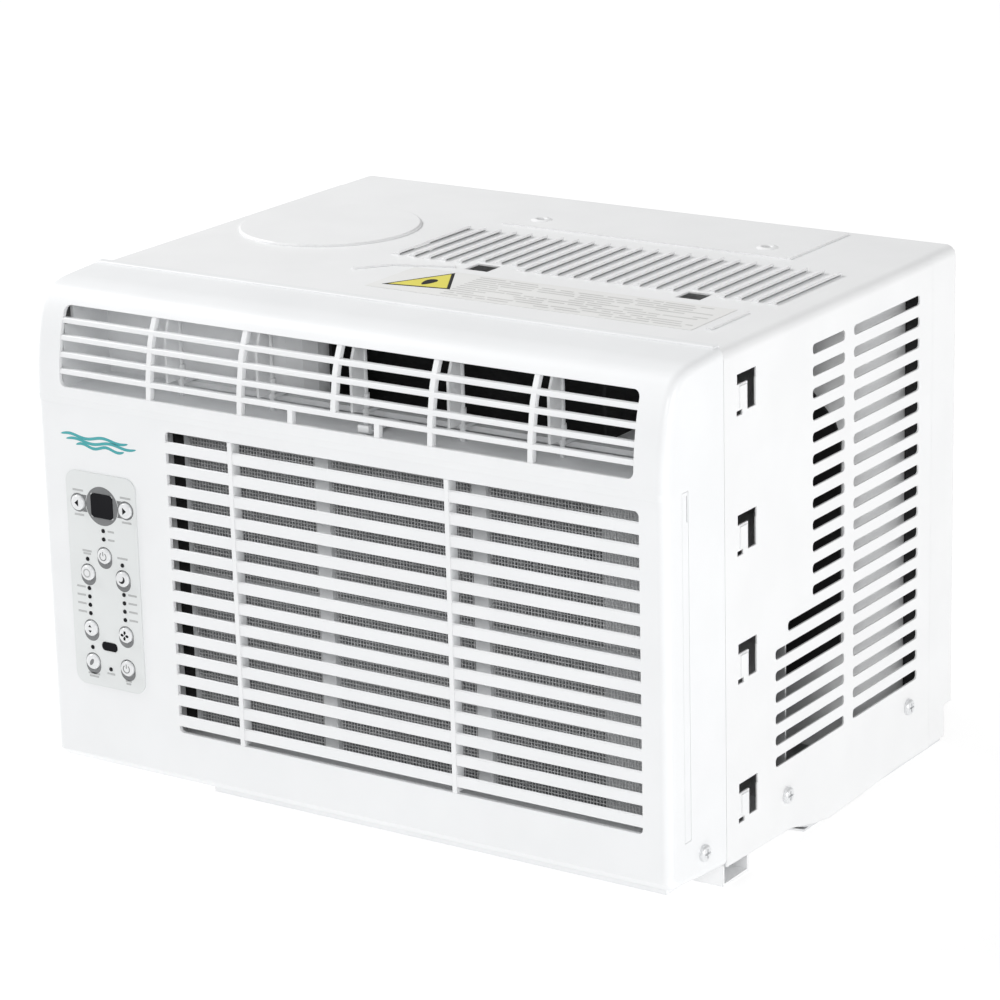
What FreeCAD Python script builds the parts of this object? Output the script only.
import math
import os
import re

import FreeCAD
import Part
import Sketcher

V = FreeCAD.Vector

# Window air conditioner.  X runs across the front, the front faces -Y, Z is up.
# The origin is the middle of the footprint, on the surface that the unit stands on.
DIMENSIONS = {
    # envelope
    "half_width": 203.0, "rear_y": 160.0, "seam_y": -99.0, "panel_y": -156.5,
    "cab_top": 292.3, "cab_bottom": 12.0, "panel_bottom": 17.0, "band_bottom": 231.0,
    "sheet_gauge": 1.0, "plastic_wall": 2.4, "top_corner": 6.0, "joggle_y": 131.0, "joggle": 0.8,
    # air outlet: window, grid bars and the guide vanes behind it
    "outlet_half": 184.5, "outlet_low": 237.0, "outlet_high": 281.4,
    "grid_bar": 3.2, "grid_depth": 3.4, "grid_first": 245.4, "grid_rise": 9.2, "post_pitch": 61.5,
    "vane_axle_y": -134.0, "vane_thick": 1.6, "vane_front": 12.5, "vane_back": 1.6, "vane_offset": 5.3,
    "vane_low": 244.8, "vane_high": 283.0, "crank_arm": 12.0, "link_z": 239.5, "link_thick": 3.0,
    "duct_floor": 235.0, "duct_roof": 284.2, "duct_rear": -62.0, "duct_half": 187.5, "duct_wall": 2.0,
    # air intake louvres and the filter behind them
    "louvre_left": -113.0, "louvre_right": 187.0, "louvre_first": 217.9, "louvre_pitch": 12.11,
    "louvre_gap": 5.5, "louvre_count": 15.0, "louvre_depth": 7.0, "louvre_last_trim": 1.8,
    "filter_left": -120.0, "filter_low": 40.0, "filter_high": 228.0,
    "filter_front": -141.0, "filter_back": -135.0, "filter_play": 0.15, "filter_border": 8.0,
    # control panel
    "panel_x": -160.0, "panel_z": 127.5, "panel_w": 49.0, "panel_h": 125.0, "overlay_thick": 0.6,
    "button_radius": 4.4, "button_proud": 1.6, "button_clear": 0.35, "button_travel": 1.0,
    "board_y": -144.5, "lamp_radius": 1.2, "display_x": -159.5, "display_z": 171.5, "eye_z": 89.5,
    # cabinet vents, hooks and top pressing
    "vent_first": 271.0, "vent_pitch": 12.12, "vent_height": 5.6,
    "vent_back_start": 39.5, "vent_back_end": 115.5, "vent_front_end": 29.5,
    "top_slot_first": -64.0, "top_slot_pitch": 10.5, "top_slot_width": 3.2,
    "top_slot_front": -5.0, "top_slot_back": 68.0, "top_slot_lift": 2.2,
    "rail_slot_y": -8.0, "rail_slot_long": 15.0, "rail_slot_wide": 14.0, "rail_hole_y": 106.5,
    "disc_x": -138.0, "disc_y": 36.0, "disc_radius": 53.0,
    # air moving parts, all on one shaft
    "shaft_x": 45.0, "shaft_z": 134.0, "shaft_radius": 4.0, "blower_radius": 72.0, "fan_radius": 88.0,
    "motor_front": -22.0, "motor_back": 36.0, "motor_radius": 42.0, "bulkhead_y": -28.4, "throat": 86.0,
    # refrigeration parts and the pan under them
    "comp_x": -147.0, "comp_y": 46.0, "comp_radius": 45.0, "pan_floor": 14.0, "pan_half": 200.9,
    "pan_gauge": 1.2, "condenser_left": -90.0, "condenser_right": 178.0,
}

doc = FreeCAD.newDocument("window_air_conditioner")
dims = doc.addObject("Spreadsheet::Sheet", "dims")
for row, (alias, value) in enumerate(DIMENSIONS.items(), start=1):
    dims.set("A%d" % row, alias)
    dims.set("B%d" % row, str(value))
    dims.setAlias("B%d" % row, alias)
doc.recompute()

ALIAS = re.compile(r"\b(" + "|".join(sorted(DIMENSIONS, key=len, reverse=True)) + r")\b")
subparts = []


# ---------------------------------------------------------------- formulas and placing

def formula(text):
    """A formula written with plain dimension names, made to read them from the sheet."""
    return ALIAS.sub(r"dims.\1", str(text))


def number(text):
    """The value of such a formula now, in millimetres."""
    return float(dims.evalExpression(formula(text)))


def bind(item, name, text):
    item.setExpression(name, formula(text))


def move(item, x, y, z):
    for axis, text in zip("xyz", (x, y, z)):
        bind(item, "Placement.Base." + axis, text)


def finish(item, label):
    """Name a finished sub-part."""
    item.Label = label
    subparts.append(item)
    return item


# ---------------------------------------------------------------- Part primitives

def box(x0, x1, y0, y1, z0, z1):
    item = doc.addObject("Part::Box", "block")
    bind(item, "Length", "(%s) - (%s)" % (x1, x0))
    bind(item, "Width", "(%s) - (%s)" % (y1, y0))
    bind(item, "Height", "(%s) - (%s)" % (z1, z0))
    move(item, x0, y0, z0)
    return item


AXIS_TURN = {
    "x": FreeCAD.Rotation(V(0, 1, 0), 90),
    "y": FreeCAD.Rotation(V(1, 0, 0), -90),
    "z": FreeCAD.Rotation(),
}


def rod(axis, x, y, z, length, radius):
    """A cylinder that starts at a point and runs along an axis."""
    item = doc.addObject("Part::Cylinder", "rod")
    item.Placement = FreeCAD.Placement(V(), AXIS_TURN[axis])
    bind(item, "Radius", radius)
    bind(item, "Height", length)
    move(item, x, y, z)
    return item


def fuse(items):
    if len(items) == 1:
        return items[0]
    item = doc.addObject("Part::MultiFuse", "joined")
    item.Shapes = items
    return item


def group(items):
    """Separate solids kept side by side in one shape."""
    item = doc.addObject("Part::Compound", "group")
    item.Links = items
    return item


def cut(base, tools):
    item = doc.addObject("Part::Cut", "trimmed")
    item.Base = base
    item.Tool = tools[0] if len(tools) == 1 else group(tools)
    return item


def made(shape, turn=None, at=(0, 0, 0)):
    """A shape worked out by this file's own code."""
    item = doc.addObject("Part::Feature", "shaped")
    item.Shape = shape
    item.Placement = FreeCAD.Placement(V(*at), turn or FreeCAD.Rotation())
    return item


def rounded(item, keep, radius):
    """Round the edges that the test keep(edge) picks."""
    doc.recompute()
    picked = [n for n, edge in enumerate(item.Shape.Edges, start=1) if keep(edge)]
    fillet = doc.addObject("Part::Fillet", "rounded")
    fillet.Base = item
    fillet.Edges = [(n, radius, radius) for n in picked]
    return fillet


def along(axis):
    """A test for straight edges that run along an axis."""
    def test(edge):
        if not isinstance(edge.Curve, Part.Line):
            return False
        return abs(getattr(edge.Curve.Direction, axis)) > 0.999
    return test


# ---------------------------------------------------------------- PartDesign helpers

def new_body(name):
    return doc.addObject("PartDesign::Body", name)


def sketch_on(body, plane, offset=None):
    sketch = body.newObject("Sketcher::SketchObject", "outline")
    origin = [f for f in body.Origin.OriginFeatures if f.Role == plane][0]
    sketch.AttachmentSupport = [(origin, "")]
    sketch.MapMode = "FlatFace"
    if offset is not None:
        bind(sketch, "AttachmentOffset.Base.z", offset)
    return sketch


def pin_point(sketch, element, end, x, y):
    """Hold one end of a line at a place given by two formulas."""
    for kind, text in (("DistanceX", x), ("DistanceY", y)):
        value = number(text)
        index = sketch.addConstraint(Sketcher.Constraint(kind, -1, 1, element, end, value))
        bind(sketch, "Constraints[%d]" % index, text)


def polygon(sketch, corners):
    """A closed outline with each corner held by formulas."""
    spots = [V(number(x), number(y), 0) for x, y in corners]
    first = sketch.GeometryCount
    for spot, after in zip(spots, spots[1:] + spots[:1]):
        sketch.addGeometry(Part.LineSegment(spot, after), False)
    for k in range(len(spots)):
        following = (k + 1) % len(spots)
        sketch.addConstraint(Sketcher.Constraint("Coincident", first + k, 2, first + following, 1))
    for k, (x, y) in enumerate(corners):
        pin_point(sketch, first + k, 1, x, y)


def rectangle(sketch, x0, x1, y0, y1):
    polygon(sketch, [(x0, y0), (x1, y0), (x1, y1), (x0, y1)])


def circle(sketch, x, y, radius):
    at = V(number(x), number(y), 0)
    index = sketch.addGeometry(Part.Circle(at, V(0, 0, 1), number(radius)), False)
    pin_point(sketch, index, 3, x, y)
    held = sketch.addConstraint(Sketcher.Constraint("Radius", index, number(radius)))
    bind(sketch, "Constraints[%d]" % held, radius)


def feature(body, kind, sketch, length=None, both_ways=False, backwards=False, through=False):
    item = body.newObject("PartDesign::" + kind, kind.lower())
    item.Profile = sketch
    item.Reversed = backwards
    item.SideType = "Symmetric" if both_ways else "One side"
    if through:
        item.Type = "ThroughAll"
    else:
        bind(item, "Length", length)
    doc.recompute()
    return item


# ---------------------------------------------------------------- front bezel

# The side profile, as (Y, Z) formulas, from the seam round the front to the top.
BEZEL_PROFILE = [
    ("seam_y", "cab_bottom"),
    ("panel_y + 5", "panel_bottom"),
    ("panel_y", "panel_bottom + 5"),
    ("panel_y", "band_bottom - 4"),
    ("panel_y - 1", "band_bottom"),
    ("panel_y", "band_bottom + 19"),
    ("panel_y + 3", "band_bottom + 37"),
    ("panel_y + 7.5", "band_bottom + 50"),
    ("panel_y + 14", "band_bottom + 58"),
    ("panel_y + 24.5", "cab_top - 0.3"),
    ("seam_y", "cab_top + 1.7"),
]
# The band's bends, as (corner of the profile, radius): they run the long curve out smoothly.
BAND_BENDS = [(5, 110), (6, 75), (7, 28), (8, 13), (9, 45)]
END_RADIUS = 5


def band_front(z):
    """Y of the band's front at a height, without its rounding."""
    curve = [(number(y), number(up)) for y, up in BEZEL_PROFILE[4:9]]
    for (y0, z0), (y1, z1) in zip(curve, curve[1:]):
        if z <= z1:
            break
    return y0 + (y1 - y0) * (z - z0) / (z1 - z0)


def numbered_edges(item, keep):
    return ["Edge%d" % n for n, edge in enumerate(item.Shape.Edges, start=1) if keep(edge)]


def body_fillet(body, base, keep, radius):
    """Round the edges of a PartDesign feature that keep(edge) picks."""
    item = body.newObject("PartDesign::Fillet", "round")
    item.Base = (base, numbered_edges(base, keep))
    item.Radius = radius
    doc.recompute()
    return item


def bezel_shell():
    """The moulded shell: a side profile across the full width, corners rounded, hollowed from behind."""
    body = new_body("bezel_shell")
    sketch = sketch_on(body, "YZ_Plane")
    polygon(sketch, BEZEL_PROFILE)
    solid = feature(body, "Pad", sketch, "2 * half_width", both_ways=True)
    half = number("half_width")
    seam = number("seam_y")
    for corner, radius in BAND_BENDS:
        y, z = (number(text) for text in BEZEL_PROFILE[corner])

        def on_corner(edge):
            middle = edge.CenterOfMass
            return abs(middle.x) < 0.01 and math.hypot(middle.y - y, middle.z - z) < 0.01

        solid = body_fillet(body, solid, on_corner, radius)

    def on_end(edge):
        ends = edge.Vertexes
        level = abs(ends[0].X - ends[1].X) < 0.01 and abs(abs(ends[0].X) - half) < 0.01
        return level and not all(abs(p.Y - seam) < 0.01 for p in ends)

    solid = body_fillet(body, solid, on_end, END_RADIUS)
    hollow = body.newObject("PartDesign::Thickness", "hollow")
    rear = [n for n, f in enumerate(solid.Shape.Faces, start=1) if abs(f.CenterOfMass.y - seam) < 0.01]
    hollow.Base = (solid, ["Face%d" % rear[0]])
    bind(hollow, "Value", "plastic_wall")
    hollow.Join = "Arc"
    hollow.Reversed = True
    doc.recompute()
    return body


GRID_INSET = 0.3
SHORT_POST_X = 28.0


def grid_bar(z):
    """One horizontal bar of the outlet grid, with a rounded front."""
    level = number(z)
    front = band_front(level) + GRID_INSET
    bar = box("-outlet_half - 1", "outlet_half + 1", front, "%f + grid_depth" % front,
              z + " - grid_bar / 2", z + " + grid_bar / 2")
    return rounded(bar, lambda e: along("x")(e) and abs(e.CenterOfMass.y - front) < 0.01, 0.9)


def grid_post(x, low, high):
    """One upright post of the grid, which follows the band's curve."""
    levels = [low] + [z for z in (250, 259, 268, 276) if low < z < high] + [high]
    deep = number("grid_depth")
    front = [V(0, band_front(z) + GRID_INSET + 0.1, z) for z in levels]
    back = [p + V(0, deep, 0) for p in reversed(front)]
    side = Part.Face(Part.makePolygon(front + back + front[:1]))
    wide = number("grid_bar")
    return made(side.extrude(V(wide, 0, 0)), at=(x - wide / 2, 0, 0))


def outlet_grid():
    """Five rows of openings; the middle post stops above the lever's wider window."""
    low = number("outlet_low") - 1
    high = number("outlet_high") + 1
    first = number("grid_first")
    posts = []
    for k in range(-2, 3):
        posts.append(grid_post(k * number("post_pitch"), low if k else first, high))
    for x in (-SHORT_POST_X, SHORT_POST_X):
        posts.append(grid_post(x, low, first))
    return posts + [grid_bar("(grid_first + %d * grid_rise)" % k) for k in range(4)]


def louvre_blades():
    """Fixed intake blades: a flat front edge, with the top falling away behind it."""
    solid = number("louvre_pitch") - number("louvre_gap")
    deep = number("louvre_depth")
    left = number("louvre_left") - 1
    width = number("louvre_right") + 1 - left
    front = number("panel_y")
    profile = [(0.0, -solid / 2), (0.0, solid / 2 - 0.8), (0.8, solid / 2), (deep, -0.2), (deep, -solid / 2)]
    blades = []
    for k in range(int(number("louvre_count")) - 1):
        middle = number("louvre_first") - (k + 0.5) * number("louvre_pitch")
        corners = [V(0, front + y, middle + z) for y, z in profile]
        side = Part.Face(Part.makePolygon(corners + corners[:1]))
        blades.append(made(side.extrude(V(width, 0, 0)), at=(left, 0, 0)))
    return blades


SCREW_SPOT = (-122.3, 28.5)
BUSHING_SPOT = (-112.0, 44.0)
RIB_X = (-69.3, 70.9)


def panel_openings(front, back):
    """Cutters for the buttons, lamps, display and receiver, from one depth to another."""
    length = "(%s) - (%s)" % (back, front)
    items = [rod("y", x, front, z, length, "button_radius + button_clear") for x, z in BUTTONS.values()]
    items += [rod("y", x, front, z, length, "lamp_radius") for x, z in LAMPS]
    glass = box("display_x - 7.7", "display_x + 7.7", front, back, "display_z - 7", "display_z + 7")
    eye = box("display_x - 5.5", "display_x + 5.5", front, back, "eye_z - 2.6", "eye_z + 2.6")
    return items + [rounded(glass, along("y"), 2.3), rounded(eye, along("y"), 2.3)]


def filter_rails():
    """The channel that the filter slides in."""
    front = "filter_front - 2.4"
    back = "filter_back + 2.4"
    right = "half_width - 5"
    rails = [box("filter_left", right, front, back, "filter_high + 0.8", "filter_high + 2.6"),
             box("filter_left", right, front, back, "filter_low - 2.6", "filter_low - 0.8")]
    for start, low, high in ((front, "filter_low - 2.6", "filter_high + 2.6"),
                             ("panel_y + 1", "filter_high - 40", "filter_high + 2.6"),
                             ("panel_y + 1", "filter_low - 2.6", "filter_low + 40")):
        rails.append(box("filter_left - 3.6", "filter_left - 0.8", start, back, low, high))
    return rails


def front_bezel():
    low = "louvre_first - (louvre_count - 1) * louvre_pitch - louvre_gap / 2 + louvre_last_trim"
    high = "louvre_first + louvre_gap / 2"
    field = box("louvre_left", "louvre_right", "panel_y - 1", "panel_y + 6", low, high)
    window = box("-outlet_half", "outlet_half", "panel_y - 4", "seam_y - 30", "outlet_low", "outlet_high")
    slot = box("half_width - 6", "half_width + 1", "filter_front - filter_play", "filter_back + filter_play",
               "filter_low - filter_play", "filter_high + filter_play")
    openings = [rounded(field, along("y"), 2.6), rounded(window, along("y"), 4), slot]
    openings += panel_openings("panel_y - 1", "panel_y + 4")
    openings.append(rod("x", "half_width - 5", SCREW_SPOT[0], SCREW_SPOT[1], 6, 2.2))
    openings.append(rod("x", "-half_width - 1", SCREW_SPOT[0], SCREW_SPOT[1], 6, 2.2))
    openings.append(rod("x", "-half_width - 1", BUSHING_SPOT[0], BUSHING_SPOT[1], 6, 8))
    shell = cut(bezel_shell(), openings)
    ribs = [box(x - 1.4, x + 1.4, "panel_y - 0.3", "panel_y + louvre_depth", low, high) for x in RIB_X]
    lip = box("-half_width + 3.5", "half_width - 3.5", "seam_y - 4", "seam_y + 2",
              "cab_top + 0.15", "cab_top + 2.4")
    lip = rounded(lip, lambda e: e.CenterOfMass.z > number("cab_top + 2.3"), 1.1)
    skirt = box(-95, "half_width - 6", "panel_y + 6", "panel_y + 38",
                "panel_bottom - 3.2", "panel_bottom + 1")
    pieces = [shell, lip, skirt] + ribs + louvre_blades() + outlet_grid() + filter_rails()
    finish(fuse(pieces), "front_bezel")


# ---------------------------------------------------------------- control panel

BUTTONS = {
    "button_temp_down": (-176.2, 171.5),
    "button_temp_up": (-142.8, 171.5),
    "button_timer": (-159.5, 142.8),
    "button_filter": (-171.8, 131.3),
    "button_sleep": (-147.2, 131.3),
    "button_mode": (-171.8, 98.6),
    "button_fan_speed": (-147.2, 98.6),
    "button_saver": (-171.8, 79.0),
    "button_power": (-147.2, 79.0),
}
LAMP_COLUMN = [122.1, 117.2, 112.3, 107.4]
LAMPS = [(-159.5, 157.3), (-159.5, 152.4), (-171.8, 139.2), (-147.2, 139.2), (-171.8, 87.4), (-159.5, 76.3)]
LAMPS += [(x, z) for x in (-171.8, -147.2) for z in LAMP_COLUMN]


def control_overlay():
    """The thin face plate glued to the panel, pierced for buttons, lamps and display."""
    body = new_body("overlay_body")
    sketch = sketch_on(body, "XZ_Plane", "-panel_y")
    rectangle(sketch, "panel_x - panel_w / 2", "panel_x + panel_w / 2",
              "panel_z - panel_h / 2", "panel_z + panel_h / 2")
    pad = feature(body, "Pad", sketch, "overlay_thick")
    body_fillet(body, pad, along("y"), 7)
    finish(cut(body, panel_openings("panel_y - 2", "panel_y + 2")), "control_overlay")


def display():
    """The dark display window, the remote receiver and the lamp lenses."""
    window = box("display_x - 7.5", "display_x + 7.5", "panel_y - 1.1", "panel_y + 2.2",
                 "display_z - 6.8", "display_z + 6.8")
    finish(rounded(window, along("y"), 2.2), "display_window")
    eye = box("display_x - 5.3", "display_x + 5.3", "panel_y - 0.9", "panel_y + 2",
              "eye_z - 2.4", "eye_z + 2.4")
    finish(rounded(eye, along("y"), 2.2), "remote_eye")
    lenses = [rod("y", x, "panel_y - overlay_thick - 0.3", z, 3.4, "lamp_radius - 0.05") for x, z in LAMPS]
    finish(group(lenses), "indicator_lenses")


def button(label, x, z):
    """A push cap with a crowned face and a stem to its switch."""
    body = new_body(label + "_body")
    outline = sketch_on(body, "XZ_Plane", "-(panel_y + 1.4)")
    circle(outline, x, z, "button_radius")
    cap = feature(body, "Pad", outline, "overlay_thick + button_proud + 1.4")
    top = number("panel_y - overlay_thick - button_proud")
    body_fillet(body, cap, lambda edge: abs(edge.BoundBox.Center.y - top) < 0.01, 1.2)
    stem = sketch_on(body, "XZ_Plane", "-(panel_y + 1.4)")
    circle(stem, x, z, 1.6)
    feature(body, "Pad", stem, "board_y - 3.4 - button_travel - 0.1 - panel_y - 1.4", backwards=True)
    finish(body, label)


def control_electronics():
    """The board with its switches, and the steel box behind it with the capacitor."""
    board = box(-190, -130, "board_y", "board_y + 1.6", 58, 192)
    finish(board, "control_board")
    switches = [box(x - 3, x + 3, "board_y - 3.4", "board_y", z - 3, z + 3) for x, z in BUTTONS.values()]
    finish(group(switches), "tact_switches")
    outer = box(-198, -143, "board_y + 6", -103, 50, 190)
    inner = box(-197, -144, "board_y + 5", -104, 51, 189)
    finish(cut(outer, [inner]), "control_box")
    can = rod("z", -176, -118, 60, 58, 13)
    caps = [box(-180, -178, -119, -117, 118, 124), box(-174, -172, -119, -117, 118, 124)]
    finish(fuse([can] + caps), "run_capacitor")


# ---------------------------------------------------------------- air filter

FILTER_CELLS = [(-112, -24.5), (-15.5, 76), (85, 190)]


def filter_windows(front, back):
    """The six openings of the filter frame, as blocks from one depth to another."""
    rows = (("filter_low + filter_border", "(filter_low + filter_high) / 2 - 2.5"),
            ("(filter_low + filter_high) / 2 + 2.5", "filter_high - filter_border"))
    return [box(left, right, front, back, low, high) for left, right in FILTER_CELLS for low, high in rows]


def air_filter():
    frame = box("filter_left", "half_width - 0.05", "filter_front", "filter_back",
                "filter_low", "filter_high")
    grip = box("half_width - 3", "half_width + 1", -136.6, -135.9, "filter_high - 16", "filter_high - 2")
    holes = filter_windows("filter_front - 1", "filter_back + 1")
    finish(cut(frame, holes + [grip]), "filter_frame")
    finish(group(filter_windows(-138.3, -137.7)), "filter_mesh")


# ---------------------------------------------------------------- outlet duct and vanes

VANES = {"vane_%d" % (k + 3): number("vane_offset + %d * post_pitch" % k) for k in range(-2, 3)}
# The curved end of the cheek, the wall that leads to the blower's throat: (offset from the throat, Y).
CHEEK = [(18.0, -112.0), (9.0, -109.0), (3.0, -103.0), (0.0, -94.0), (0.0, -64.0)]
CHEEK_THICK = 1.6


def cheek():
    """The duct's left inner wall, from its side round to the throat."""
    throat_x = number("shaft_x - throat - 3.5")
    side_x = number("duct_wall / 2 - duct_half")
    front = [V(side_x, CHEEK[0][1], 0)] + [V(throat_x - x, y, 0) for x, y in CHEEK]
    back = [p + V(0, CHEEK_THICK, 0) for p in front[:2]]
    back += [p + V(-CHEEK_THICK, CHEEK_THICK, 0) for p in front[2:4]]
    back += [p - V(CHEEK_THICK, 0, 0) for p in front[4:]]
    outline = front + back[::-1]
    low = number("duct_floor - 1")
    high = number("duct_roof + 1")
    face = Part.Face(Part.makePolygon(outline + outline[:1]))
    return made(face.extrude(V(0, 0, high - low)), at=(0, 0, low))


def outlet_duct():
    """The white plastic duct: floor, roof, side walls and the cheek beside the blower's throat."""
    low = "duct_floor - 1"
    high = "duct_roof + 1"
    inner = "duct_half - duct_wall"
    steps = [(-141, "duct_rear", high), (-149, -140, 270), (-151, -148, 263), (-152.7, -150, 255.5)]
    floor = box("-duct_half", "duct_half", -153.5, "duct_rear", "duct_floor - duct_wall", "duct_floor")
    roof = box("-duct_half", "duct_half", -140, "duct_rear", "duct_roof", "duct_roof + 1.8")
    sides = []
    for x0, x1 in (("-duct_half", "-(%s)" % inner), (inner, "duct_half")):
        sides += [box(x0, x1, y0, y1, low, top) for y0, y1, top in steps]
    back = box("-duct_half + 1", "duct_half - 1", "duct_rear - 2", "duct_rear", low, high)
    holes = [rod("z", x, "vane_axle_y", "duct_floor - 3", 60, 1.5) for x in VANES.values()]
    mouth = box("shaft_x - throat - 2.3", "shaft_x + throat + 2.3", -99.3, "duct_rear - 1.9",
                "duct_floor - 5", "duct_floor + 0.5")
    walls = [floor, roof, back, cheek()] + sides
    finish(cut(fuse(walls), holes + [mouth]), "outlet_duct")


def vane(label, x):
    """A guide vane: a blade on a stepped axle, and a crank arm under it with a pin for the link."""
    front = "vane_axle_y - vane_front"
    back = "vane_axle_y + vane_back"
    outline = [(front, "vane_low"), (front, "vane_high - 12"), (front + " + 5", "vane_high"),
               (back, "vane_high"), (back, "vane_low")]
    spots = [V(0, number(y), number(z)) for y, z in outline]
    side = Part.Face(Part.makePolygon(spots + spots[:1]))
    thick = number("vane_thick")
    blade = made(side.extrude(V(thick, 0, 0)), at=(x - thick / 2, 0, 0))
    axle = rod("z", x, "vane_axle_y", "vane_low - 3", "duct_roof - vane_low + 2.6", 1.7)
    step = rod("z", x, "vane_axle_y", "vane_low", 8, 2.3)
    pins = rod("z", x, "vane_axle_y", "duct_floor - 1.5", "duct_roof - duct_floor + 3", 1.42)
    arm = box("%s - 2" % x, "%s + 2" % x, "vane_axle_y", "vane_axle_y + crank_arm + 2",
              "vane_low - 3", "vane_low - 1")
    web = box("%s - 0.8" % x, "%s + 0.8" % x, "vane_axle_y - 1", back, "vane_low - 1.5", "vane_low")
    pin = rod("z", x, "vane_axle_y + crank_arm", "link_z - link_thick / 2 - 0.3", "vane_low - link_z", 1.2)
    finish(fuse([blade, axle, step, pins, arm, web, pin]), label)


LEVER_LEFT = 13.0
LEVER_RIGHT = 20.0


def vane_link():
    """The bar that joins the five vanes, and the finger lever that hangs from it."""
    bar = box(min(VANES.values()) - 5, max(VANES.values()) + 38, "vane_axle_y + crank_arm - 3",
              "vane_axle_y + crank_arm + 3", "link_z - link_thick / 2", "link_z + link_thick / 2")
    holes = [rod("z", x, "vane_axle_y + crank_arm", "link_z - 3", 6, 1.28) for x in VANES.values()]
    finish(cut(rounded(bar, along("z"), 2.5), holes), "vane_link")
    under = "link_z - link_thick / 2"
    arm = box(LEVER_LEFT, LEVER_RIGHT, -151, "vane_axle_y + crank_arm + 2.5", under + " - 1.4", under)
    finger = box(LEVER_LEFT, LEVER_RIGHT, -152.5, -149.5, under + " - 1.4", under + " + 3")
    finish(fuse([arm, rounded(finger, along("x"), 0.8)]), "vane_lever")


# ---------------------------------------------------------------- cabinet

HOOK_LEVELS = [256.0, 181.0, 111.0, 33.5]
VENT_ROWS = 19
TOP_SLOTS = 24
RAIL_SLOT_X = (-2.9, 132.2)
RAIL_HOLE_X = (-38.0, 112.0)
SIDE_SCREWS = ((-34.4, 30.6), (105.3, 36.1))
# The lower edge of each side sheet, as (Y, Z), from the front to the back.
LOWER_EDGE = [(-98.7, 12.0), (-50.0, 10.5), (-30.0, 9.8), (-2.0, 3.2), (12.0, 1.0), (59.0, 2.2),
              (96.0, 4.1), (128.0, 3.1), (152.0, 3.3), (152.0, 22.5), (161.0, 22.5)]


def side_vents():
    """Two columns of level slots in both sides; the lower front ones are longer."""
    slots = []
    for k in range(VENT_ROWS):
        z = "(vent_first - %d * vent_pitch)" % k
        start = -6.0
        if k == 12:
            start = -33.0
        if k > 12:
            start = -46.5
        for y0, y1 in ((start, "vent_front_end"), ("vent_back_start", "vent_back_end")):
            slot = box("-half_width - 2", "half_width + 2", y0, y1,
                       z + " - vent_height / 2", z + " + vent_height / 2")
            slots.append(rounded(slot, along("x"), 2.2))
    return slots


def hook_openings():
    """Keyed openings that take the side curtain frames, four each side."""
    shapes = []
    for z in HOOK_LEVELS:
        for y0, y1, z0, z1 in ((-85.5, -66.0, z + 15, z + 20.5), (-75.0, -66.5, z, z + 16),
                               (-86.0, -80.0, z - 1.5, z + 1.2)):
            shapes.append(box("-half_width - 2", "half_width + 2", y0, y1, z0, z1))
    return shapes


def slot_front(k):
    """A top slot starts behind the rail slot where it would meet one."""
    x = number("top_slot_first + %d * top_slot_pitch" % k)
    near = min(abs(x - middle) for middle in RAIL_SLOT_X)
    return "top_slot_front + 8" if near < 13 else "top_slot_front"


def top_openings():
    slots = []
    for k in range(TOP_SLOTS):
        x = "(top_slot_first + %d * top_slot_pitch)" % k
        slots.append(box(x + " - top_slot_width / 2", x + " + top_slot_width / 2",
                         slot_front(k) + " + 1", "top_slot_back - 1", "cab_top - 5", "cab_top + 0.4"))
    for x in RAIL_SLOT_X:
        slots.append(box("%f - rail_slot_long / 2" % x, "%f + rail_slot_long / 2" % x,
                         "rail_slot_y - rail_slot_wide / 2", "rail_slot_y + rail_slot_wide / 2",
                         "cab_top - 5", "cab_top + 5"))
    for x in RAIL_HOLE_X:
        slots.append(rod("z", x, "rail_hole_y", "cab_top - 5", 10, 2.5))
    return slots


def louvre_hood(k):
    """The pressed strip over a top slot: it rises from the left and is open to the right."""
    x = number("top_slot_first + %d * top_slot_pitch" % k)
    front = number(slot_front(k))
    back = number("top_slot_back")
    top = number("cab_top")
    lift = number("top_slot_lift")
    sheet = 1.2

    def wedge(corners, y0, y1):
        spots = [V(x + dx, y0, top + dz) for dx, dz in corners]
        return Part.Face(Part.makePolygon(spots + spots[:1])).extrude(V(0, y1 - y0, 0))

    solid = wedge([(-3.8, -0.2), (2.6, lift - 0.2), (2.6, -0.2)], front, back)
    hollow = wedge([(-1.6, -0.3), (-1.5, lift * 0.36 - sheet), (2.8, lift - 0.2 - sheet), (2.8, -0.3)],
                   front + sheet, back - sheet)
    return made(solid.cut(hollow))


def wrap(inset, low, y0, y1, step_y):
    """The sheet's outline grown in or out: a front part and the joggled rear strip."""
    def upper_edges(edge):
        return along("y")(edge) and edge.CenterOfMass.z > 200

    parts = []
    for start, end, side in ((y0, step_y, inset), (step_y + " - 1", y1, inset + " + joggle")):
        block = box("-half_width + (%s)" % side, "half_width - (%s)" % side, start, end,
                    low, "cab_top - (%s)" % inset)
        parts.append(rounded(block, upper_edges, number("top_corner") - number(inset)))
    return fuse(parts)


def below_edge():
    """Everything under the lower edge of the side sheets."""
    spots = [V(0, y, z) for y, z in LOWER_EDGE]
    spots = [V(0, -105, 12)] + spots + [V(0, 165, 22.5), V(0, 165, -5), V(0, -105, -5)]
    face = Part.Face(Part.makePolygon(spots + spots[:1]))
    wide = number("2 * half_width + 4")
    return made(face.extrude(V(wide, 0, 0)), at=(-wide / 2, 0, 0))


# Raised ribs pressed in the top, as (x0, x1, y0, y1).
TOP_RIBS = [(-52, 138, 86.5, 89.5), (135, 138, 86.5, 154), (174, 177, -67, -27)]
# The bent rib left of the louvres, as the (X, Y) points that its middle runs through.
BENT_RIB = [(-65.5, -44.0), (-51.0, -26.5), (-18.0, -15.0)]
BENT_RIB_HALF = 1.3


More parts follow.
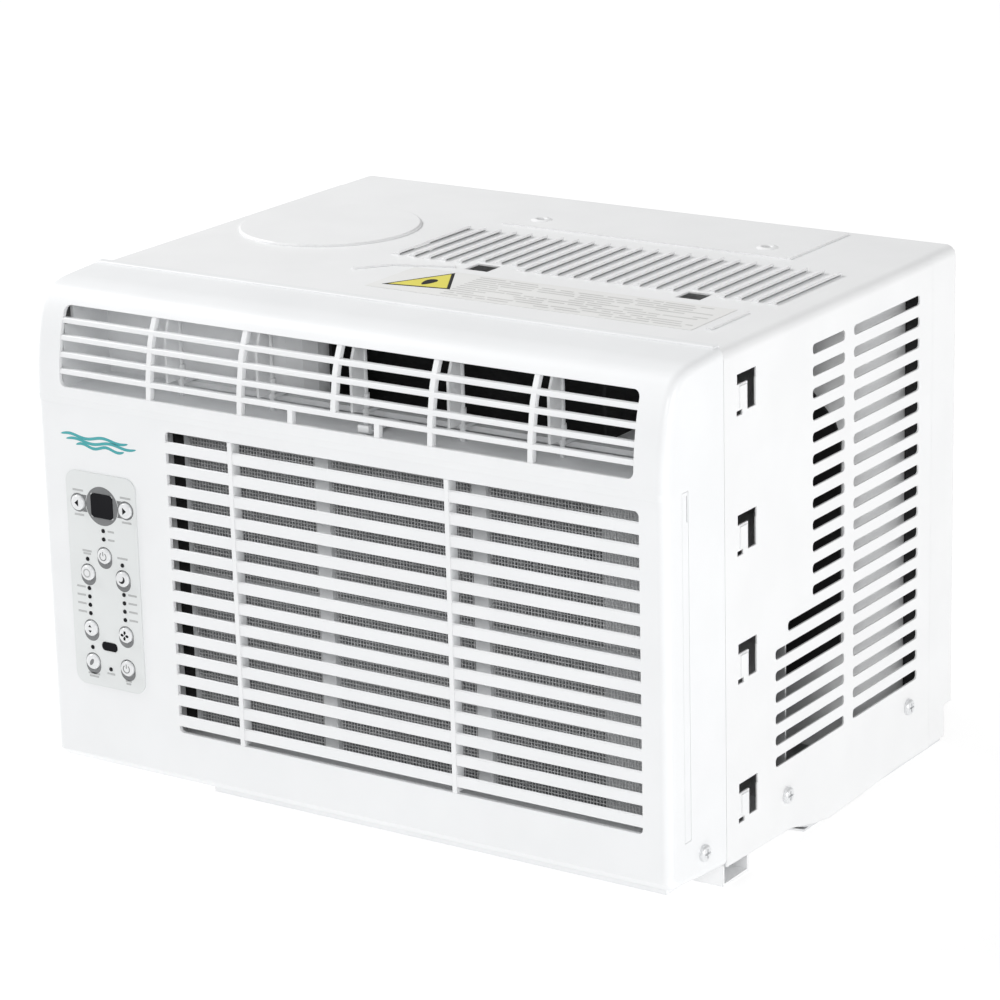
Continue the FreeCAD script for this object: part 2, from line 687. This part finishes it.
def bent_rib():
    """Short straight ribs end to end along the points of BENT_RIB."""
    low = number("cab_top - 0.4")
    runs = []
    for (x0, y0), (x1, y1) in zip(BENT_RIB, BENT_RIB[1:]):
        turn = FreeCAD.Rotation(V(0, 0, 1), math.degrees(math.atan2(y1 - y0, x1 - x0)))
        long = math.hypot(x1 - x0, y1 - y0)
        bar = Part.makeBox(long + BENT_RIB_HALF, 2 * BENT_RIB_HALF, 1.3, V(0, -BENT_RIB_HALF, 0))
        runs.append(made(bar, turn, (x0, y0, low)))
    return runs


def cabinet():
    """The folded steel wrap: two sides and a top, open in front, below and behind."""
    outer = wrap("0", "0.5", "seam_y + 0.3", "rear_y", "joggle_y")
    inner = wrap("sheet_gauge", "-2", "seam_y - 2", "rear_y + 2", "joggle_y - sheet_gauge")
    holes = side_vents() + hook_openings() + top_openings() + [below_edge()]
    for y, z in SIDE_SCREWS:
        holes.append(rod("x", "-half_width - 2", y, z, "2 * half_width + 4", 2.1))
    disc = rounded(rod("z", "disc_x", "disc_y", "cab_top - 0.5", 2.0, "disc_radius"),
                   lambda e: e.CenterOfMass.z > number("cab_top + 1"), 1.2)
    ribs = [box(x0, x1, y0, y1, "cab_top - 0.4", "cab_top + 0.9") for x0, x1, y0, y1 in TOP_RIBS]
    ribs += bent_rib()
    tabs = []
    for z in HOOK_LEVELS:
        for near in ("-half_width - 0.7", "half_width - 0.5"):
            tabs.append(box(near, near + " + 1.2", -83.5, -76.5, z + 2, z + 14))
    hoods = [louvre_hood(k) for k in range(TOP_SLOTS)]
    finish(fuse([cut(cut(outer, [inner]), holes), disc] + ribs + tabs + hoods), "cabinet")


def rear_guard():
    """The back frame: a flange round the condenser and a slotted panel behind the compressor."""
    plate = box("-half_width + 4", "half_width - 4", "rear_y - 10", "rear_y - 9", 24, "cab_top - 2.3")
    left = "condenser_left + 2"
    right = "condenser_right - 2"
    holes = [box(left, right, "rear_y - 20", "rear_y", 30, 270)]
    for k in range(16):
        z = 50 + 13.5 * k
        holes.append(box(-188, -104, "rear_y - 20", "rear_y", z, z + 5))
    bars = [box(left + " - 1", right + " + 1", "rear_y - 9.5", "rear_y - 7.5", z - 1, z + 1)
            for z in range(46, 262, 24)]
    stays = [box(x - 1, x + 1, "rear_y - 9.7", "rear_y - 8.2", 29, 271) for x in (-25, 45, 115)]
    finish(fuse([cut(plate, holes)] + bars + stays), "rear_guard")


# ---------------------------------------------------------------- base

SUMP_FRONT = -12.0
SUMP_FLOOR = 2.2
DRAIN_SPOT = (150.0, 135.0)
FOOT_BLOCK_X = (-146, 45, 160)


def base_pan():
    """The tray: a raised front floor, a lower sump under the fan, and side skirts."""
    half = number("pan_half")
    gauge = number("pan_gauge")
    raised = number("pan_floor")
    rear = number("rear_y - 10.3")
    front = box("-pan_half", "pan_half", "seam_y + 1", -40, "pan_floor - pan_gauge", "pan_floor")
    sump = box("-pan_half", "pan_half", SUMP_FRONT, rear, SUMP_FLOOR - gauge, SUMP_FLOOR)
    slope_side = [V(0, -40.5, raised - gauge), V(0, -40.5, raised),
                  V(0, -11.5, SUMP_FLOOR), V(0, -11.5, SUMP_FLOOR - gauge)]
    slope = Part.Face(Part.makePolygon(slope_side + slope_side[:1])).extrude(V(2 * half, 0, 0))
    skirt = [V(0, -97, 13), V(0, -40, 13), V(0, -6, 2), V(0, rear, 1), V(0, rear, 40), V(0, -58, 40),
             V(0, -58, 28), V(0, -97, 28)]
    side = Part.Face(Part.makePolygon(skirt + skirt[:1])).extrude(V(gauge, 0, 0))
    pieces = [front, sump, made(slope, at=(-half, 0, 0)), made(side, at=(half - gauge, 0, 0)),
              made(side, at=(-half, 0, 0)), box("-pan_half", "pan_half", rear - 1, rear, 1, 22),
              box("-pan_half", "pan_half", "seam_y + 1", "seam_y + 2", "pan_floor - pan_gauge", 22)]
    holes = [rod("z", DRAIN_SPOT[0], DRAIN_SPOT[1], 0, 6, 5)]
    for y, z in SIDE_SCREWS:
        holes.append(rod("x", -205, y, z, 410, 1.6))
    for x in FOOT_BLOCK_X:
        pieces += [box(x - 12, x + 12, y, y + 12, 0, 1.2) for y in (12, 100)]
    finish(cut(fuse(pieces), holes), "base_pan")


FOOT_X = 187.5
FOOT_GAUGE = 1.5


def front_feet():
    """Bent channels under the front corners that stand on the window sill, open at both ends."""
    feet = []
    for side in (-1, 1):
        x = side * FOOT_X
        outer = box(x - 13, x + 13, -98.6, -72, 0, "pan_floor - pan_gauge")
        inner = box(x - 14, x + 14, -98.6 + FOOT_GAUGE, -72 - FOOT_GAUGE, FOOT_GAUGE, "pan_floor")
        feet.append(cut(outer, [inner]))
    finish(group(feet), "front_feet")


# ---------------------------------------------------------------- air moving parts

def swept_blades(count, spin_length, start_y, profile):
    """Blades with one cross-section in the XZ plane, set round the shaft."""
    section = Part.Face(Part.Wire(profile))
    blades = []
    for k in range(count):
        turn = FreeCAD.Rotation(V(0, 1, 0), 360.0 * k / count)
        at = (number("shaft_x"), start_y, number("shaft_z"))
        blades.append(made(section.extrude(V(0, spin_length, 0)), turn, at))
    return blades


def arc_strip(inner, outer, lean, thick):
    """Outline of a curved blade between two radii, in the XZ plane."""
    middle = (inner + outer) / 2
    bulge = 0.25 * (outer - inner)
    low = [V(0, 0, inner), V(bulge, 0, middle), V(lean, 0, outer)]
    high = [p + V(thick, 0, 0) for p in low]
    return [
        Part.Arc(*low).toShape(),
        Part.makeLine(low[2], high[2]),
        Part.Arc(high[2], high[1], high[0]).toShape(),
        Part.makeLine(high[0], low[0]),
    ]


def blower_wheel():
    """The squirrel-cage wheel: back plate, hub, front ring and forward-curved blades."""
    plate = rod("y", "shaft_x", -48, "shaft_z", 2, "blower_radius")
    ring = cut(rod("y", "shaft_x", -98, "shaft_z", 2.5, "blower_radius + 0.5"),
               [rod("y", "shaft_x", -99, "shaft_z", 5, "blower_radius - 12")])
    hub = rod("y", "shaft_x", -62, "shaft_z", 16, 11)
    tip = number("blower_radius") - 0.5
    blades = swept_blades(40, 50, -97.5, arc_strip(tip - 11, tip, 4, 1))
    bore = rod("y", "shaft_x", -70, "shaft_z", 40, "shaft_radius + 0.02")
    finish(cut(fuse([plate, ring, hub] + blades), [bore]), "blower_wheel")


def condenser_fan():
    """The rear fan: a hub, five pitched blades, and the slinger ring that lifts the water."""
    hub = rod("y", "shaft_x", 62, "shaft_z", 22, 17)
    reach = number("fan_radius") - 17 + 3.5
    blades = []
    for k in range(5):
        blade = Part.makeBox(56, 1.8, reach, V(-28, -0.9, 15))
        blade.rotate(V(0, 0, 0), V(0, 0, 1), 24)
        tip = Part.makeCylinder(number("fan_radius") + 1, 60, V(0, -30, 0), V(0, 1, 0))
        turn = FreeCAD.Rotation(V(0, 1, 0), 72.0 * k)
        blades.append(made(blade.common(tip), turn, (number("shaft_x"), 73, number("shaft_z"))))
    outer = rod("y", "shaft_x", 78, "shaft_z", 7, "fan_radius + 3")
    slinger = cut(outer, [rod("y", "shaft_x", 77, "shaft_z", 9, "fan_radius + 0.5")])
    bore = rod("y", "shaft_x", 60, "shaft_z", 30, "shaft_radius + 0.02")
    finish(cut(fuse([hub, slinger] + blades), [bore]), "condenser_fan")


def fan_motor():
    """A can motor on the shaft that carries both wheels."""
    body = new_body("motor_body")
    sketch = sketch_on(body, "XZ_Plane", "-motor_front")
    circle(sketch, "shaft_x", "shaft_z", "motor_radius")
    can = feature(body, "Pad", sketch, "motor_back - motor_front", backwards=True)
    body_fillet(body, can, lambda edge: isinstance(edge.Curve, Part.Circle), 8)
    nose = [rod("y", "shaft_x", y, "shaft_z", 6, 13) for y in ("motor_front - 5", "motor_back - 1")]
    bore = rod("y", "shaft_x", -60, "shaft_z", 130, "shaft_radius + 0.05")
    finish(cut(fuse([body] + nose), [bore]), "fan_motor")
    shaft = rod("y", "shaft_x", -64, "shaft_z", 154, "shaft_radius")
    finish(rounded(shaft, lambda e: isinstance(e.Curve, Part.Circle), 0.6), "fan_shaft")
    ring = cut(box("shaft_x - 52", "shaft_x + 52", 4, 12, "shaft_z - 50", "shaft_z + 50"),
               [rod("y", "shaft_x", 0, "shaft_z", 20, "motor_radius + 0.1")])
    arms = [box("shaft_x %s 52 - 5" % side, "shaft_x %s 52 + 5" % side, "bulkhead_y", 8,
                "shaft_z + %d" % low, "shaft_z + %d" % (low + 12)) for side in "+-" for low in (-50, 38)]
    finish(fuse([ring] + arms), "motor_bracket")
    nuts = []
    for y in (-64.4, 84.6):
        nut = Part.Face(Part.makePolygon([V(8 * math.sin(a * math.pi / 3), 0, 8 * math.cos(a * math.pi / 3))
                                          for a in range(7)])).extrude(V(0, 2.2, 0))
        nuts.append(cut(made(nut, at=(number("shaft_x"), y, number("shaft_z"))),
                        [rod("y", "shaft_x", y - 1, "shaft_z", 5, "shaft_radius + 0.02")]))
    finish(group(nuts), "wheel_nuts")


def blower_housing():
    """The scroll round the blower: inlet ring in front, closed behind, with a throat up into the duct."""
    outer = box("shaft_x - 88", "shaft_x + 88", -104, -36, 36, "duct_floor - duct_wall - 0.2")
    riser = box("shaft_x - throat - 2", "shaft_x + throat + 2", -99, "duct_rear - 2.2",
                "duct_floor - 6", "duct_roof - 0.3")
    cavity = rod("y", "shaft_x", -101.5, "shaft_z", 62, "blower_radius + 9")
    throat = box("shaft_x - throat", "shaft_x + throat", -101.5, "duct_rear - 4.2",
                 "shaft_z + 60", "duct_roof + 1")
    inlet = rod("y", "shaft_x", -106, "shaft_z", 8, "blower_radius - 12")
    hole = rod("y", "shaft_x", -40, "shaft_z", 8, 9)
    finish(cut(fuse([outer, riser]), [cavity, throat, inlet, hole]), "blower_housing")


def bulkhead():
    """The wall between the room side and the outdoor side."""
    wall = box("-half_width + 3.8", "half_width - 3.8", "bulkhead_y - 1.2", "bulkhead_y", 24, "cab_top - 3")
    hole = rod("y", "shaft_x", "bulkhead_y - 4", "shaft_z", 8, 16)
    lines = [rod("y", x, "bulkhead_y - 4", z, 8, 7) for x, z in ((-150, 225), (-110, 63))]
    flange = [box("-half_width + 10", "half_width - 10", "bulkhead_y - 12", "bulkhead_y - 1.1",
                  "cab_top - 4.2", "cab_top - 3")]
    finish(fuse([cut(wall, [hole] + lines)] + flange), "bulkhead")


SHROUD_FRONT = 52.0
SHROUD_WALL = 1.5
SHROUD_CORNER = 24.0


def condenser_shroud():
    """The cowl that leads the outdoor air through the fan into the condenser."""
    def front_corner(edge):
        return along("z")(edge) and edge.CenterOfMass.y < SHROUD_FRONT + 8

    left = "condenser_left - 2"
    right = "condenser_right + 14"
    outer = rounded(box(left, right, SHROUD_FRONT, 112, 24, 276), front_corner, SHROUD_CORNER)
    hollow = box("%s + %f" % (left, SHROUD_WALL), "%s - %f" % (right, SHROUD_WALL),
                 SHROUD_FRONT + SHROUD_WALL, 113, 24 + SHROUD_WALL, 276 - SHROUD_WALL)
    inner = rounded(hollow, front_corner, SHROUD_CORNER - SHROUD_WALL)
    mouth = rod("y", "shaft_x", SHROUD_FRONT - 2, "shaft_z", 6, "fan_radius + 7")
    tail = box("%s - %f" % (right, SHROUD_WALL), right, 111, 126, 24, 276)
    finish(fuse([cut(outer, [inner, mouth]), tail]), "condenser_shroud")


# ---------------------------------------------------------------- heat exchangers and refrigerant circuit

def coil(label, x0, x1, y0, y1, z0, z1, rows):
    """A finned coil: fin pack, end plates, and the return bends at both ends."""
    pack = box(x0, x1, y0, y1, z0, z1)
    grooves = [box(x0 - 1, x1 + 1, y0 - 1, y0 + 1.5, z0 + 8 + 12.7 * k, z0 + 10.5 + 12.7 * k)
               for k in range(int((z1 - z0 - 12) / 12.7) + 1)]
    plates = [box(x - 1.1, x - 0.1, y0 - 1.5, y1 + 1.5, z0 - 1, z1 + 1) for x in (x0, x1 + 1.2)]
    finish(group([cut(pack, grooves)] + plates), label + "_coil")
    bends = []
    for k in range(rows):
        z = z0 + 14 + 25.4 * k
        for x, side in ((x0 - 1.1, -1), (x1 + 1.1, 1)):
            for y in (y0 + 6, y1 - 6):
                loop = Part.makeTorus(6.35, 3.4, V(0, 0, 0), V(0, 1, 0))
                half = Part.makeBox(12, 12, 30, V(0 if side > 0 else -12, -6, -15))
                bends.append(made(loop.common(half), at=(x, y, z)))
    finish(group(bends), label + "_bends")


def compressor():
    """The sealed compressor can on its foot plate, with grommets, bolts and a cover for its terminals."""
    body = new_body("compressor_body")
    sketch = sketch_on(body, "XY_Plane", "22")
    circle(sketch, "comp_x", "comp_y", "comp_radius")
    can = feature(body, "Pad", sketch, 168)
    body_fillet(body, can, lambda edge: isinstance(edge.Curve, Part.Circle), 20)
    seam = rod("z", "comp_x", "comp_y", 150, 5, "comp_radius + 1.5")
    stub = rod("z", "comp_x + 12", "comp_y", 185, 16, 4)
    base = rod("z", "comp_x", "comp_y", 15, 2.5, "comp_radius + 3.5")
    skirt = rod("z", "comp_x", "comp_y", 16, 16, 30)
    spots = [(38 * math.cos(a), 38 * math.sin(a)) for a in (math.pi / 2, math.pi * 7 / 6, -math.pi / 6)]
    holes = [rod("z", "comp_x + %f" % x, "comp_y + %f" % y, 10, 12, 4.4) for x, y in spots]
    finish(cut(fuse([body, seam, stub, base, skirt]), holes), "compressor")
    grommets = []
    bolts = []
    for x, y in spots:
        at = ("comp_x + %f" % x, "comp_y + %f" % y)
        ring = fuse([rod("z", at[0], at[1], 2.3, 12.6, 7.5), rod("z", at[0], at[1], 14, 5, 4.3)])
        grommets.append(cut(ring, [rod("z", at[0], at[1], 0, 30, 2.6)]))
        bolts.append(fuse([rod("z", at[0], at[1], 2.3, 18.7, 2.5), rod("z", at[0], at[1], 19.2, 2.4, 5)]))
    finish(group(grommets), "compressor_grommets")
    finish(group(bolts), "compressor_bolts")
    lid = rounded(box("comp_x + 2", "comp_x + 30", "comp_y - 13", "comp_y + 13", 190.4, 204),
                  lambda e: e.CenterOfMass.z > 203, 3)
    finish(cut(lid, [rod("z", "comp_x + 12", "comp_y", 180, 40, 4.3)]), "terminal_cover")
    can = rod("z", -163, -14, 70, 96, 13)
    vessel = rounded(can, lambda e: isinstance(e.Curve, Part.Circle), 6)
    stub = tube([(-163, -14, 69.8), (-163, -14, 50), (-163, 2.3, 50)], 4.0, 8)
    finish(group([vessel, stub]), "accumulator")


def tube(points, radius, bend):
    """A copper line: straight runs with round bends, on a route given point by point."""
    spots = [V(*p) for p in points]
    edges = []
    start = spots[0]
    for before, corner, after in zip(spots, spots[1:], spots[2:]):
        back = (before - corner).normalize()
        ahead = (after - corner).normalize()
        half = back.getAngle(ahead) / 2
        reach = bend / math.tan(half)
        first = corner + back * reach
        last = corner + ahead * reach
        inward = (back + ahead).normalize()
        middle = corner + inward * (bend / math.sin(half) - bend)
        edges.append(Part.LineSegment(start, first).toShape())
        edges.append(Part.Arc(first, middle, last).toShape())
        start = last
    edges.append(Part.LineSegment(start, spots[-1]).toShape())
    path = Part.Wire(edges)
    ring = Part.Wire(Part.makeCircle(radius, spots[0], spots[1] - spots[0]))
    return made(path.makePipeShell([ring], True, False))


def refrigerant_lines():
    """The four lines between compressor, condenser and evaporator."""
    suction = [(-163, -14, 166.2), (-163, -14, 225), (-150, -14, 225), (-150, -120, 225),
               (-150, -120, 203), (-131.6, -120, 203)]
    finish(tube(suction, 4.0, 6), "suction_line")
    discharge = [(-135, 46, 201.2), (-135, 46, 250), (-135, 127, 250), (-101.5, 127, 250)]
    finish(tube(discharge, 3.2, 10), "discharge_line")
    liquid = [(-101.5, 127, 64), (-110, 127, 64), (-110, 127, 232), (-110, -17, 232), (-110, -17, 166)]
    finish(tube(liquid, 3.0, 4), "liquid_line")
    capillary = [(-110, -17, 109.8), (-110, -17, 63), (-110, -107.9, 63)]
    finish(tube(capillary, 1.4, 8), "capillary_tube")


def small_fittings():
    """Drier, cord inlet bushing, sensor, drain plug and the sticker on top."""
    drier = rod("z", -110, -17, 110, 55.8, 8)
    finish(rounded(drier, lambda e: isinstance(e.Curve, Part.Circle), 4), "filter_drier")
    y, z = BUSHING_SPOT
    sleeve = rod("x", "-half_width - 1.9", y, z, 6.4, 7.9)
    flange = rod("x", "-half_width - 1.9", y, z, 1.85, 10)
    collar = rod("x", "-half_width + plastic_wall + 0.1", y, z, 1.9, 10)
    bushing = cut(fuse([sleeve, flange, collar]), [rod("x", "-half_width - 5", y, z, 14, 4.2)])
    finish(bushing, "cord_bushing")
    bulb = rod("x", -60, -133.6, 180, 30, 0.9)
    finish(bulb, "room_sensor")
    x, y = DRAIN_SPOT
    plug = fuse([rod("z", x, y, 0.4, 4.2, 4.8), rod("z", x, y, SUMP_FLOOR + 0.1, 2, 8)])
    finish(plug, "drain_plug")
    finish(box(-37, 168, -72, -24, "cab_top + 0.02", "cab_top + 0.15"), "top_label")


def pan_screw(x, y, z, out):
    """A pan head with a shank, pointing inward from the side given by out."""
    head = Part.makeCylinder(4.6, 2.4, V(0, 0, 0), V(out, 0, 0))
    top = [n for n in head.Edges if isinstance(n.Curve, Part.Circle) and abs(n.CenterOfMass.x) > 2]
    head = head.makeFillet(1.5, top)
    cross = Part.makeBox(2, 1, 5.2, V(1.2 if out > 0 else -3.2, -0.5, -2.6))
    cross = cross.fuse(Part.makeBox(2, 5.2, 1, V(1.2 if out > 0 else -3.2, -2.6, -0.5)))
    shank = Part.makeCylinder(1.55, 8, V(0, 0, 0), V(-out, 0, 0))
    return made(head.cut(cross).fuse(shank), at=(x, y, z))


def screws():
    half = number("half_width")
    sides = []
    for out in (-1, 1):
        for y, z in SIDE_SCREWS + (SCREW_SPOT,):
            sides.append(pan_screw(out * (half + 0.05), y, z, out))
    finish(group(sides), "case_screws")


# ---------------------------------------------------------------- build, check and write

front_bezel()
control_overlay()
display()
for name, (x, z) in BUTTONS.items():
    button(name, x, z)
control_electronics()
air_filter()
outlet_duct()
for name, x in VANES.items():
    vane(name, x)
vane_link()
cabinet()
rear_guard()
base_pan()
front_feet()
blower_wheel()
condenser_fan()
fan_motor()
blower_housing()
bulkhead()
condenser_shroud()
coil("evaporator", -128, 150, -131, -108, 36, 226, 6)
coil("condenser", number("condenser_left"), number("condenser_right"), 114, 142, 24, 272, 9)
compressor()
refrigerant_lines()
small_fittings()
screws()

doc.recompute()
for item in doc.Objects:
    if "Invalid" in item.State or "Error" in item.State:
        raise RuntimeError("%s (%s) failed: %s" % (item.Name, item.Label, item.State))
for item in subparts:
    if item.Shape.isNull() or not item.Shape.isValid() or not item.Shape.Solids:
        raise RuntimeError("sub-part %s has no valid shape" % item.Label)

os.makedirs("parts", exist_ok=True)
for item in subparts:
    item.Shape.exportStep("parts/%s.step" % item.Label)
